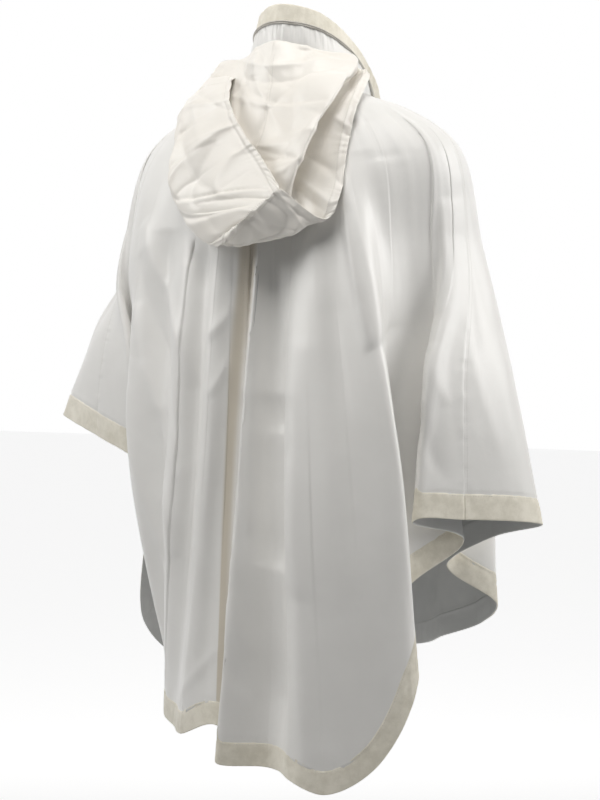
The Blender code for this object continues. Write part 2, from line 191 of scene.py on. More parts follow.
def yoke_point(ring, angle):
    """A ring's point at an angle from the centre back, higher at the sides."""
    _, width, back, front, side_z, back_z, front_z = ring
    s, c = math.sin(angle), math.cos(angle)
    depth, end_z = (back, back_z) if c > 0 else (front, front_z)
    reach = 1.0 / math.hypot(s / width, c / depth)
    share = (c * reach / depth) ** 2
    return np.array([s * reach, c * reach, side_z * (1 - share) + end_z * share])


lines = []
for _, chest_x, chest_y, half_x, half_y, hem_x, hem_y, hem_z in FOLDS:
    angle = math.atan2(chest_x, chest_y)
    neck = np.array([np.interp(angle, neck_angles, neck_fine[:, k]) for k in range(3)])
    lines.append([neck, yoke_point(YOKE[0], angle), yoke_point(YOKE[1], angle),
                  np.array([chest_x, chest_y, CHEST_Z]),
                  np.array([half_x, half_y, (CHEST_Z + hem_z) / 2]),
                  np.array([hem_x, hem_y, hem_z])])
cape = Sheet(lines, CAPE_STATIONS, 0.62)

hem_u = np.linspace(0, LAST_LINE, 741)
hem_points = cape.at(hem_u, np.full(741, 0.97))         # beside the band's middle
hem_run = np.concatenate([[0.0], np.cumsum(np.linalg.norm(np.diff(hem_points, axis=0), axis=1))])


def wave(x, phase=0.0):
    """An uneven ripple, between about -1 and 1."""
    return (np.sin(x + phase) + 0.6 * np.sin(1.71 * x + 2.1 * phase + 1.3)
            + 0.4 * np.sin(2.9 * x - phase + 0.7)) / 1.6


BROAD_CREASE = 16       # mm: from this width on a crease has the rounder core
BROAD_CORE = 0.8
STEEPENING = 0.88       # how much a full lip narrows a crease's steep side
FADING = 0.55           # power that keeps a crease deep until near its ends
FLANK = 0.6


def creased(u, t, across, down, creases, softness):
    """Height of the creases: each runs from one place to another and fades at both ends.

    With a lip, its side towards the lower line numbers (lip above 0) or towards the higher
    ones (lip below 0) falls off steeply, as where one layer of cloth lies over the next."""
    height = np.zeros(np.shape(u))
    for _, u0, t0, u1, t1, width, depth, bow, lip in creases:
        x, y = (u - u0) * across, (t - t0) * down
        run_x, run_y = (u1 - u0) * across, (t1 - t0) * down
        size = np.sqrt(run_x ** 2 + run_y ** 2) + 1e-6
        along = (x * run_x + y * run_y) / size
        share = np.clip(along / size, 0.0, 1.0)
        aside = (x * run_y - y * run_x) / size - bow * 4 * share * (1 - share)
        reach = np.where(aside * lip < 0.0, width * (1.0 - STEEPENING * abs(lip)), width)
        away = np.hypot(aside, along - share * size)
        fade = (4 * share * (1 - share)) ** FADING
        core = (BROAD_CORE if width >= BROAD_CREASE else softness) * reach
        fall = (core - np.sqrt(core ** 2 + away ** 2)) / (FLANK * reach)
        height += depth * fade * np.exp(fall)
    return height


# Soft troughs (depth below 0) and ridges in the shell: from one fold line and share of its
# length to another; width, depth and sideways bow in mm.
CAPE_CREASES = (
    # name, from_line, from_down, to_line, to_down, width, depth, bow, lip
    ("right flat pull 1", 12.6, 0.30, 13.2, 0.62, 16, -3.0, 6, 0),
    ("right flat pull 2", 13.8, 0.42, 13.5, 0.80, 20, 3.0, -5, 0),
    ("right trough deep 1", 15.25, 0.28, 15.75, 0.76, 24, -16.0, 4, 0),
    ("right trough deep 2", 15.75, 0.56, 15.65, 1.16, 26, -17.0, -3, 0),
    ("right ridge full 1", 14.9, 0.34, 14.7, 0.78, 26, 10.0, 3, -0.2),
    ("right ridge full 2", 14.7, 0.62, 14.5, 1.14, 24, 9.0, -3, -0.2),
    ("right low pull", 14.4, 0.62, 14.2, 0.95, 22, -4.0, 4, 0),
    ("right layer edge", 12.0, 0.14, 12.3, 0.52, 34, 11.0, 5, -0.9),
    ("right second ridge", 10.9, 0.22, 11.1, 0.52, 22, 5.0, 0, 0),
    ("right hollow beside", 11.5, 0.20, 11.6, 0.55, 16, -3.0, 0, 0),
    ("right wing fold edge", 9.5, 0.30, 9.5, 1.06, 22, 11.0, -3, -0.9),
    ("right shoulder edge", 13.6, 0.08, 13.2, 0.46, 20, 3.6, 5, 0),
    ("right shoulder hollow", 14.4, 0.14, 14.1, 0.50, 22, -5.0, 3, 0),
    ("right valley", 16.2, 0.20, 15.8, 0.60, 24, -14.0, -3, 0),
    ("right ridge by the seam 1", 17.1, 0.18, 17.0, 0.66, 13, 2.6, 2, 0),
    ("right ridge by the seam 2", 17.0, 0.48, 17.0, 1.12, 13, 2.2, -2, 0),
    ("right knee of the fold", 16.8, 0.52, 16.6, 0.74, 8, -2.6, 2, 0),
    ("right kick 1", 16.9, 0.80, 16.3, 0.87, 9, 3.4, 0, 0),
    ("right kick 2", 17.0, 0.86, 16.4, 0.91, 8, -3.0, 0, 0),
    ("right kick 3", 16.9, 0.66, 16.4, 0.72, 8, 2.4, 0, 0),
    ("left ridge b", 20.1, 0.16, 20.0, 1.14, 36, 5.0, 4, 0),
    ("left hollow b", 19.2, 0.30, 19.3, 1.10, 20, -4.0, 3, 0),
    ("left ridge a", 22.0, 0.16, 22.0, 1.14, 32, 6.0, -4, 0),
    ("left hollow a", 21.1, 0.24, 21.0, 1.12, 26, -6.5, -3, 0),
    ("left seam pull 1", 20.3, 0.50, 19.0, 0.465, 9, 3.2, 3, 0),
    ("left seam pull 2", 20.0, 0.57, 19.1, 0.53, 8, 2.8, 3, 0),
    ("left seam pull 3", 20.0, 0.38, 18.7, 0.34, 9, 2.6, 3, 0),
    ("left pull 1", 24.2, 0.32, 21.2, 0.56, 15, 5.0, 8, 0.3),
    ("left pull 2", 24.1, 0.38, 21.6, 0.66, 14, -4.5, 8, 0),
    ("left pull 3", 23.9, 0.46, 21.8, 0.78, 15, 5.0, 6, 0.3),
    ("left pull 4", 23.2, 0.24, 20.9, 0.44, 13, -3.6, 6, 0),
    ("left pull 5", 24.0, 0.58, 22.6, 0.88, 13, 4.0, 6, 0),
    ("left shoulder pull", 21.4, 0.14, 20.6, 0.38, 16, 4.0, 3, 0),
    ("left shoulder hollow", 22.4, 0.14, 21.8, 0.40, 16, -4.0, 3, 0),
    ("left outer fall 1", 23.0, 0.34, 22.8, 0.72, 20, -8.0, 4, 0),
    ("left outer fall 2", 22.9, 0.60, 23.0, 1.08, 20, -9.0, -3, 0),
    ("left corner fall", 23.6, 0.54, 23.5, 1.00, 18, 6.0, 0, 0),
    ("left low pleat 1", 19.0, 0.90, 20.4, 0.96, 8, 2.4, 0, 0),
    ("left low pleat 2", 22.2, 0.92, 21.0, 0.97, 8, -2.2, 0, 0),
    ("right wing front fall", 7.4, 0.30, 7.3, 0.98, 20, 2.6, 0, 0),
    ("right wing back fall", 8.6, 0.34, 8.7, 1.00, 16, -2.6, 0, 0),
    ("right wing pull 1", 7.9, 0.28, 7.1, 0.62, 13, -1.6, 4, 0),
    ("right wing pull 2", 8.0, 0.55, 7.5, 0.88, 12, 1.4, -3, 0),
    ("right wing pull 3", 9.2, 0.60, 8.4, 0.74, 9, 2.4, 2, 0),
    ("right wing pull 4", 9.3, 0.74, 8.3, 0.92, 10, -2.6, 2, 0),
    ("right gather 1", 9.5, 0.10, 9.5, 0.22, 5, -1.4, 0, 0),
    ("right gather 2", 9.9, 0.10, 9.8, 0.23, 5, 1.4, 0, 0),
    ("right gather 3", 10.3, 0.11, 10.2, 0.21, 5, -1.3, 0, 0),
    ("right gather 4", 10.7, 0.11, 10.6, 0.24, 6, 1.3, 0, 0),
    ("right gather 5", 11.1, 0.12, 11.1, 0.22, 6, -1.2, 0, 0),
    ("left wing pull 1", 28.6, 0.34, 29.2, 0.72, 14, 3.4, -4, 0),
    ("left wing pull 2", 28.4, 0.46, 28.9, 0.90, 12, -3.4, 3, 0),
    ("left wing front fall", 29.7, 0.36, 29.9, 0.98, 16, -4.0, 0, 0),
    ("left wing fold edge", 27.0, 0.34, 27.0, 1.00, 14, 6.0, 0, 0.6),
    ("right front fall 1", 1.6, 0.26, 1.6, 1.02, 24, 7.0, 0, 0.3),
    ("right front fall 2", 2.6, 0.30, 2.6, 1.02, 22, -8.0, 0, 0),
    ("right front fall 3", 3.5, 0.26, 3.4, 1.00, 20, 6.0, 0, 0),
    ("right front pull", 1.0, 0.14, 2.8, 0.42, 15, -3.6, 5, 0),
    ("right front pull 2", 0.8, 0.22, 3.2, 0.60, 14, 3.0, 6, 0),
    ("left front fall 1", 35.5, 0.26, 35.4, 1.02, 24, 7.0, 0, -0.3),
    ("left front fall 2", 34.4, 0.30, 34.4, 1.02, 22, -8.0, 0, 0),
    ("left front fall 3", 33.5, 0.28, 33.6, 1.00, 20, 6.0, 0, 0),
    ("left front pull", 36.0, 0.14, 34.2, 0.42, 15, -3.6, 5, 0),
    ("left front pull 2", 36.2, 0.24, 33.8, 0.62, 14, 3.0, 6, 0),
)
CAPE_SOFTNESS = 0.42
HEM_BAND = 28.0
WING_EXTRA = 3.0        # mm by which the hem band is wider over the arms
WING_REACH = 1.8        # fold lines
TACK_SPACING = 3.6      # mm of hem for one radian of the puckers above the band


def band_width(u):
    """Width of the hem band, in mm."""
    right = np.exp(-((u - (RIGHT_OVERARM - 0.5)) / WING_REACH) ** 2)
    left = np.exp(-((u - (LEFT_OVERARM + 0.5)) / WING_REACH) ** 2)
    return HEM_BAND + WING_EXTRA * np.maximum(right, left)


def step_across_hem(u):
    """Length square to the hem for a step of 1 down the line."""
    hem = cape.at(np.minimum(u + 0.05, LAST_LINE), 1.0) - cape.at(np.maximum(u - 0.05, 0.0), 1.0)
    down = cape.frame(u, np.full(np.shape(u), 0.985))[3]
    square = np.linalg.norm(np.cross(down, hem), axis=-1) / np.linalg.norm(hem, axis=-1)
    return np.maximum(square, 0.5 * np.linalg.norm(down, axis=-1))


def band_top(u):
    """Where the hem band's upper edge lies, as a share of the way down."""
    return 1.0 - band_width(u) / step_across_hem(u)


def cape_relief(u, t, across, down):
    """Creases, the ripples between them, and the puckers along the sewn lines, in mm."""
    height = creased(u, t, across, down, CAPE_CREASES, CAPE_SOFTNESS)
    run = np.interp(u, hem_u, hem_run)
    fall = np.clip((t - 0.12) / 0.3, 0.0, 1.0)
    height += 0.7 * fall * wave(run / 26.0 + 1.5 * np.sin(5.0 * t)) * np.sin(7.0 * t + run / 190.0)
    height += 0.35 * wave(run / 11.0 + 9.0 * t, 2.0) * np.sin(11.0 * t + run / 70.0)
    above = (1.0 - t) * down - band_width(u)
    height *= 0.5 + 0.5 * np.clip(above / 60.0, 0.0, 1.0)
    height += 0.5 * wave(run / TACK_SPACING) * np.exp(-np.abs(above) / 9.0)
    height -= 0.7 * np.exp(-(above / 2.2) ** 2)
    for seam, reach in ((CENTRE_BACK, 7.0), (RIGHT_OVERARM, 5.0), (LEFT_OVERARM, 5.0)):
        aside = np.abs(u - seam) * across
        height += 0.45 * wave(t * down / 5.0, seam) * np.exp(-aside / reach)
    return height


def raised(sheet, u, t, relief, lift=0.0):
    """Points of a sheet with their relief, and the normals of the sheet without it."""
    points, normals, across, down = sheet.frame(u, t)
    speeds = np.linalg.norm(across, axis=-1), np.linalg.norm(down, axis=-1)
    return points + normals * (relief(u, t, *speeds) + lift)[..., None], normals


def laid(sheet, u, t, relief):
    """Points with their relief and the normals of the creased cloth, on a grid."""
    points, normals = raised(sheet, u, t, relief)
    fine = np.cross(np.gradient(points, axis=1), np.gradient(points, axis=0))
    size = np.linalg.norm(fine, axis=-1, keepdims=True)
    fine = np.where(size > 1e-4, fine / np.maximum(size, 1e-9), normals)
    agrees = np.sum(fine * normals, axis=-1, keepdims=True) > 0.2
    return points, np.where(agrees, fine, normals)


def thin_ends(count, first, last):
    """Shares of full thickness along a side, rounded off at a folded edge."""
    shares = np.ones(count)
    for k, share in enumerate((0.3, 0.8)):
        if first:
            shares[k] = share
        if last:
            shares[-1 - k] = share
    return shares


def add_piece(name, verts, faces, materials):
    """A smooth mesh object at the origin, from points in metres."""
    mesh = bpy.data.meshes.new(name)
    mesh.from_pydata(verts.tolist(), [], faces)
    mesh.polygons.foreach_set("use_smooth", np.ones(len(faces), bool))
    for material in materials:
        mesh.materials.append(material)
    piece = bpy.data.objects.new(name, mesh)
    bpy.context.scene.collection.objects.link(piece)
    return piece


def cloth(name, points, normals, half, outer, inner, inner_relief=None, rounded=(1, 1, 1, 1),
          painted_shade=None):
    """A closed thin wall of cloth, lengths in its UV map in metres, its two faces in two cloths."""
    rows, cols = points.shape[:2]
    top, bottom, left, right = rounded
    half = half * thin_ends(rows, top, bottom)[:, None] * thin_ends(cols, left, right)[None, :]
    behind = half if inner_relief is None else half + inner_relief
    verts = np.concatenate([(points + normals * half[..., None]).reshape(-1, 3),
                            (points - normals * behind[..., None]).reshape(-1, 3)]) * MM
    index = np.arange(rows * cols).reshape(rows, cols)
    front = np.stack([index[:-1, :-1], index[:-1, 1:], index[1:, 1:], index[1:, :-1]], axis=-1)
    front = front.reshape(-1, 4)
    back = front[:, ::-1] + rows * cols
    rim = np.concatenate([index[0, :], index[1:, -1], index[-1, -2::-1], index[-2:0:-1, 0]])
    after = np.roll(rim, -1)
    side = np.stack([after, rim, rim + rows * cols, after + rows * cols], axis=-1)
    faces = np.concatenate([front, back, side])
    piece = add_piece(name, verts, faces.tolist(), (outer, inner))
    mesh = piece.data
    width = np.mean(np.linalg.norm(np.diff(points, axis=1), axis=-1), axis=0)
    length = np.mean(np.linalg.norm(np.diff(points, axis=0), axis=-1), axis=1)
    run_u = np.concatenate([[0.0], np.cumsum(width)]) * MM
    run_v = np.concatenate([[0.0], np.cumsum(length)]) * MM
    flat_u = np.tile(np.broadcast_to(run_u[None, :], (rows, cols)).reshape(-1), 2)
    flat_v = np.tile(np.broadcast_to(run_v[:, None], (rows, cols)).reshape(-1), 2)
    corners = faces.reshape(-1)
    layer = mesh.uv_layers.new(name="lengths")
    layer.data.foreach_set("uv", np.stack([flat_u[corners], flat_v[corners]], axis=1).reshape(-1))
    # An optional attribute of painted shade: the tint that stands in for the shade beneath a fold.
    if painted_shade is not None:
        shade_layer = mesh.attributes.new("painted_shade", "FLOAT", "POINT")
        shade_layer.data.foreach_set("value", np.concatenate([painted_shade.reshape(-1), 0 * painted_shade.reshape(-1)]))
    kinds = np.concatenate([np.zeros(len(front)), np.ones(len(back)), np.zeros(len(side))])
    mesh.polygons.foreach_set("material_index", kinds.astype(np.int32))
    mesh.update()
    return piece


class Wire:
    """A shader socket that takes part in sums and products."""
    tree = None

    def __init__(self, socket):
        self.socket = socket

    @classmethod
    def node(cls, kind, out=0, settings=None, **values):
        made = cls.tree.nodes.new(kind)
        for key, value in (settings or {}).items():
            setattr(made, key, value)
        for key, value in values.items():
            place = int(key[1:]) if key[0] == "_" else key.replace("_", " ")
            if isinstance(value, Wire):
                cls.tree.links.new(value.socket, made.inputs[place])
            else:
                made.inputs[place].default_value = value
        return cls(made.outputs[out])

    def maths(self, operation, other):
        return Wire.node("ShaderNodeMath", settings={"operation": operation}, _0=self, _1=other)

    def __add__(self, other): return self.maths("ADD", other)
    def __mul__(self, other): return self.maths("MULTIPLY", other)


def blend(factor, one, other):
    return Wire.node("ShaderNodeMix", 2, {"data_type": "RGBA"}, _0=factor, _6=one, _7=other)


def ramp(value, low, high):
    return Wire.node("ShaderNodeMapRange", settings={"interpolation_type": "SMOOTHSTEP"},
                     Value=value, From_Min=low, From_Max=high)


# Painted shade: a beige tint that stands in for the warm shade beneath the overlapping fold beside
# the centre back seam.
PAINTED_SEAM_SHADE = (0.60, 0.54, 0.44, 1.0)
RIBS = 9000.0           # radians of the weave's ribs to a metre


def begin_cloth(name):
    """A new material, and the places on the piece that its patterns are laid out by."""
    material = bpy.data.materials.new(name)
    material.use_nodes = True
    Wire.tree = material.node_tree
    return material, Wire.node("ShaderNodeTexCoord", "Object")


def end_cloth(material, tone, roughness, bump, sheen, sheen_roughness, specular):
    """Join the patterns to the material and set its sheen."""
    body = material.node_tree.nodes["Principled BSDF"]
    for name, wire in (("Base Color", tone), ("Roughness", roughness), ("Normal", bump)):
        material.node_tree.links.new(wire.socket, body.inputs[name])
    body.inputs["Sheen Weight"].default_value = sheen
    body.inputs["Sheen Roughness"].default_value = sheen_roughness
    body.inputs["Specular IOR Level"].default_value = specular
    return material


def satin(name, colour, shade, roughness, crumple, sheen):
    """A satin-faced weave: fine diagonal ribs, soft crumples, slight changes of tone, and painted
    shade where the piece's attribute asks for it.
    """
    material, place = begin_cloth(name)
    lengths = Wire.node("ShaderNodeUVMap", settings={"uv_map": "lengths"})
    x = Wire.node("ShaderNodeSeparateXYZ", 0, Vector=lengths)
    y = Wire.node("ShaderNodeSeparateXYZ", 1, Vector=lengths)
    broad = Wire.node("ShaderNodeTexNoise", Vector=place, Scale=9.0, Detail=3.0, Roughness=0.55)
    soft = Wire.node("ShaderNodeTexNoise", Vector=place, Scale=42.0, Detail=4.0, Roughness=0.6,
                     Distortion=0.6)
    ridges = Wire.node("ShaderNodeTexNoise", settings={"noise_type": "RIDGED_MULTIFRACTAL"},
                       Vector=place, Scale=16.0, Detail=3.0, Roughness=0.5, Distortion=0.9)
    rib = Wire.node("ShaderNodeMath", settings={"operation": "SINE"}, _0=(x + y) * RIBS)
    height = soft * 0.5 + ridges * crumple + rib * 0.015
    bump = Wire.node("ShaderNodeBump", Height=height, Strength=0.55, Distance=0.0011)
    tone = blend(ramp(broad, 0.35, 0.7), (*shade, 1.0), (*colour, 1.0))
    # Painted shade: the piece's attribute mixes in the beige tint that stands in for the shade
    # beneath a fold.
    painted_shade = Wire.node("ShaderNodeAttribute", "Fac", {"attribute_name": "painted_shade"})
    tone = blend(painted_shade, tone, PAINTED_SEAM_SHADE)
    return end_cloth(material, tone, soft * 0.12 + (roughness - 0.06), bump, sheen, 0.4, 0.45)


shell = satin("satin_shell", (0.86, 0.85, 0.825), (0.82, 0.81, 0.785), 0.36, 0.22, 0.1)
lining = satin("silver_lining", (0.66, 0.66, 0.645), (0.56, 0.565, 0.555), 0.34, 0.4, 0.1)


def spread(line, count):
    """Places from one fold line to the next, closer together at both."""
    return line + (1 - np.cos(np.pi * np.arange(count) / count)) / 2


def places(first, last, step=4.2, sheet=cape, t=0.85, extra=3, least=6):
    """Columns from one line to another, about one step apart at t and closer at the lines."""
    found = []
    for k in range(first, last):
        apart = np.linalg.norm(sheet.at(k + 1.0, t) - sheet.at(float(k), t))
        found.append(spread(k, max(least, int(round(apart / step)) + extra)))
    return np.concatenate(found + [[float(last)]])


TUCKED = 5.0            # mm of the shell's edge that the band covers
PANEL_ROWS = 190
SHELL_HALF = 0.8        # half the wall's thickness
# The painted shade beside the centre back seam: where it lies, how wide it is, how it follows the
# overlapping fold down, and how strong it is.
SHADE_MIDDLE = 4.0       # mm from the seam towards the left half
SHADE_HALF = 9.0
SHADE_SHIFT = 26.0       # by which it moves out from under the overlapping fold on the way down
SHADE_STRENGTH = 0.85


def panel(name, columns, node):
    """A panel from the neck seam down into the hem band, in place of its solid."""
    end = band_top(columns) + TUCKED / step_across_hem(columns)
    t = np.linspace(0.0, 1.0, PANEL_ROWS)[:, None] * end[None, :]
    u = np.broadcast_to(columns[None, :], t.shape)
    points, normals = laid(cape, u, t, cape_relief)
    # Painted shade: a beige strip left of the centre back seam, in the shade beneath the
    # overlapping fold, fading in below the chest.
    beside_seam = (u - CENTRE_BACK) * np.linalg.norm(cape.frame(u, t)[2], axis=-1)
    shift = SHADE_SHIFT * np.clip((t - 0.42) / 0.5, 0.0, 1.0)
    seam_shade = np.exp(-((beside_seam - SHADE_MIDDLE - shift) / SHADE_HALF) ** 4)
    seam_shade *= SHADE_STRENGTH * np.clip((t - 0.2) / 0.2, 0.0, 1.0) * (beside_seam > -6.0)
    piece = cloth(name, points, normals, SHELL_HALF, shell, lining, rounded=(0, 0, 0, 0),
                  painted_shade=seam_shade)
    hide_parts(node)
    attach(piece, "root")


panel("shell_back_right", places(RIGHT_OVERARM, CENTRE_BACK), "back_right")
panel("shell_back_left", places(CENTRE_BACK, LEFT_OVERARM), "back_left")

# The fronts: two more halves of the same shell, joined to the back along the shoulder and over
# the arm. Each ends short of the front edge, where its cream band takes over.
FRONT_BAND = 26.0
FRONT_GAP = 0.2         # fold lines between the panel and the front edge
right_front = places(0, RIGHT_OVERARM)
left_front = places(LEFT_OVERARM, LAST_LINE)
panel("shell_front_right", right_front[right_front > FRONT_GAP], "front_right")
panel("shell_front_left", left_front[left_front < LAST_LINE - FRONT_GAP], "front_left")


# Hem bands and edge bands: strips of a cream suede-like cloth with a short nap, laid over the
# shell's edge and topstitched. Inside they are faced with the lining, which is gathered a little.
BAND_HALF = 1.15
BAND_STEP = 3.6         # mm from one column of a hem band to the next


def suede_cloth(name, colour, shade):
    """A napped cloth: fine grain, rubbed patches and uneven tone."""
    material, place = begin_cloth(name)
    blotch = Wire.node("ShaderNodeTexNoise", Vector=place, Scale=34.0, Detail=5.0, Roughness=0.65)
    nap = Wire.node("ShaderNodeTexNoise", Vector=place, Scale=700.0, Detail=4.0, Roughness=0.7)
    rubbed = Wire.node("ShaderNodeTexNoise", Vector=place, Scale=110.0, Detail=3.0)
    mixed = blotch * 0.6 + rubbed * 0.25 + nap * 0.15
    tone = blend(ramp(mixed, 0.36, 0.62), (*shade, 1.0), (*colour, 1.0))
    bump = Wire.node("ShaderNodeBump", Height=nap * 0.6 + rubbed * 0.4, Strength=0.5,
                     Distance=0.0006)
    return end_cloth(material, tone, nap * 0.1 + 0.85, bump, 0.35, 0.6, 0.2)


suede = suede_cloth("cream_suede", (0.84, 0.80, 0.695), (0.70, 0.66, 0.555))


def band_puckers(u, t):
    """The band's own small waves, below where it covers the shell's edge."""
    run = np.interp(u, hem_u, hem_run)
    below = np.clip((t - band_top(u)) * step_across_hem(u) / 9.0 - 0.4, 0.0, 1.0)
    return below * (0.25 * wave(run / 4.2, 1.0) + 0.5 * wave(run / 17.0, 3.0))


def hem_band(name, first, last, node):
    """A hem band over the shell's edge, as wide as its solid."""
    columns = places(first, last, BAND_STEP)
    rows = np.concatenate([[0.0, 0.02, 0.06], np.linspace(0.12, 0.92, 9), [0.965, 0.99, 1.0]])
    top = band_top(columns)
    t = top[None, :] + rows[:, None] * (1.0 - top)[None, :]
    u = np.broadcast_to(columns[None, :], t.shape)

    def relief(u, t, across, down):
        return cape_relief(u, t, across, down) + band_puckers(u, t)

    points, normals = laid(cape, u, t, relief)
    run = np.interp(columns, hem_u, hem_run)
    gathers = (0.35 + 0.35 * wave(run / 1.9, 2.0))[None, :] * np.sin(np.pi * rows)[:, None]
    piece = cloth(name, points, normals, BAND_HALF, suede, lining, gathers)
    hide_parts(node)
    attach(piece, "root")


hem_band("suede_band_back_right", RIGHT_OVERARM, CENTRE_BACK, "band_back_right")
hem_band("suede_band_back_left", CENTRE_BACK, LEFT_OVERARM, "band_back_left")
hem_band("suede_band_front_right", 0, RIGHT_OVERARM, "band_front_right")
hem_band("suede_band_front_left", LEFT_OVERARM, LAST_LINE, "band_front_left")


def edge_band(name, side, node):
    """The band down a front edge, from the collar to the hem band."""
    edge = 0.0 if side == "right" else float(LAST_LINE)
    end = float(band_top(np.array(edge)))
    t = np.linspace(0.0, 1.0, 150)[:, None] * np.full((1, 9), end)
    speed = np.linalg.norm(cape.frame(np.full(t.shape, edge), t)[2], axis=-1)
    share = np.array([0.0, 0.02, 0.07, 0.2, 0.5, 0.8, 0.93, 0.98, 1.0])[None, :]
    if side == "right":
        u = share * FRONT_BAND / speed
    else:
        u = edge - (1.0 - share) * FRONT_BAND / speed
    points, normals = laid(cape, u, t, cape_relief)
    piece = cloth(name, points, normals, BAND_HALF, suede, lining)
    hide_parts(node)
    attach(piece, "root")


edge_band("suede_edge_right", "right", "edge_right")
edge_band("suede_edge_left", "left", "edge_left")

# The stand collar: a gathered strip of shell below and a smooth suede band above, with a thin
# double piping between them. It stands up round the neck and its ends open over the chest.
COLLAR_BAND = 23.0
COLLAR_BULGE = 1.8
COLLAR_LIFT = 1.9       # mm from the neck seam up to the stand's lower edge
COLLAR_OVERLAP = 3.0    # mm of the stand behind the band
PIPING = 0.85
COLLAR_END = 2.0 * (len(COLLAR) - 1)
top_line, neck_line = collar_line("top"), collar_line("neck")
neck_line[:, 2] += COLLAR_LIFT
middle = (top_line + neck_line) / 2
outward = middle * np.array([1.0, 1.0, 0.0]) - np.array([0.0, NECK_MIDDLE_Y, 0.0])
middle += COLLAR_BULGE * outward / np.linalg.norm(outward, axis=1)[:, None]
collar = Sheet(np.stack([top_line, middle, neck_line], axis=1), (0.0, 0.5, 1.0), 0.0)


def collar_drop(u, drop):
    """A number of mm below the collar's upper edge, as a share of its height."""
    return drop / np.linalg.norm(collar.frame(u, np.full(np.shape(u), 0.3))[3], axis=-1)


def smooth_band(u, t, across, down):
    """The band's own slight unevenness, in mm."""
    return 0.35 * wave(9.0 * u) + 0.2 * wave(31.0 * u, 2.0)


columns = np.linspace(0.0, COLLAR_END, 261)
end = collar_drop(columns, COLLAR_BAND)
rows = np.concatenate([[0.0, 0.03, 0.09], np.linspace(0.18, 0.86, 10), [0.93, 0.98, 1.0]])
t = rows[:, None] * end[None, :]
u = np.broadcast_to(columns[None, :], t.shape)
points, normals = laid(collar, u, t, smooth_band)
collar_band = cloth("suede_collar_band", points, normals, BAND_HALF, suede, suede)
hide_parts("collar_band")
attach(collar_band, "root")

columns = np.linspace(0.0, COLLAR_END, 641)
start = collar_drop(columns, COLLAR_BAND - COLLAR_OVERLAP)
rows = np.linspace(0.0, 1.0, 26)
t = start[None, :] + rows[:, None] * (1.0 - start)[None, :]
u = np.broadcast_to(columns[None, :], t.shape)


def gathered(u, t, across, down):
    """Small gathers just below the piping, and a few soft creases under them."""
    share = np.clip((t - 0.26) / 0.74, 0.0, 1.0)
    reach = np.clip(share * 14.0, 0.0, 1.0) * np.exp(-3.2 * share) * (1.0 - share)
    soft = np.sin(np.pi * share) * wave(4.0 * u + 3.0 * share, 0.5)
    fine = 0.9 * wave(15.0 * u + 4.0 * share, 1.0) + 0.5 * wave(33.0 * u, 2.0)
    return reach * fine + 0.8 * soft


points, normals = laid(collar, u, t, gathered)
collar_stand = cloth("shell_collar_stand", points, normals, 0.7, shell, lining)
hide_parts("collar_stand")
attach(collar_stand, "root")


def cord(name, route, radius, sides, material):
    """A round cord along a route, with rounded ends."""
    along = np.gradient(route, axis=0)
    along /= np.linalg.norm(along, axis=1)[:, None]
    across = np.cross(along, np.array([0.0, 0.0, 1.0]))
    across /= np.linalg.norm(across, axis=1)[:, None]
    upward = np.cross(across, along)
    turns = np.arange(sides) * 2 * math.pi / sides
    sizes = np.ones(len(route)) * radius
    sizes[[0, -1]] *= 0.4
    ring = (np.cos(turns)[None, :, None] * across[:, None, :]
            + np.sin(turns)[None, :, None] * upward[:, None, :])
    verts = (route[:, None, :] + ring * sizes[:, None, None]).reshape(-1, 3) * MM
    faces = [(i * sides + j, (i + 1) * sides + j, (i + 1) * sides + (j + 1) % sides,
              i * sides + (j + 1) % sides)
             for i in range(len(route) - 1) for j in range(sides)]
    faces.append(tuple(range(sides)))
    faces.append(tuple((len(route) - 1) * sides + j for j in reversed(range(sides))))
    return add_piece(name, verts, faces, (material,))


piping_material = satin("grey_piping", (0.66, 0.63, 0.58), (0.52, 0.50, 0.46), 0.5, 0.3, 0.2)
columns = np.linspace(0.2, COLLAR_END - 0.2, 300)
route, normals, _, _ = collar.frame(columns, collar_drop(columns, COLLAR_BAND))
piping = cord("piping_double", route + normals * 2.1 + np.array([0.0, 0.0, 0.7]), PIPING, 8,
              piping_material)
lower = cord("piping_lower", route + normals * 2.0 - np.array([0.0, 0.0, 1.3]), PIPING - 0.1, 8,
             piping_material)
bpy.ops.object.select_all(action="DESELECT")
lower.select_set(True)
piping.select_set(True)
bpy.context.view_layer.objects.active = piping
bpy.ops.object.join()
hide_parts("collar_piping")
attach(piping, "root")

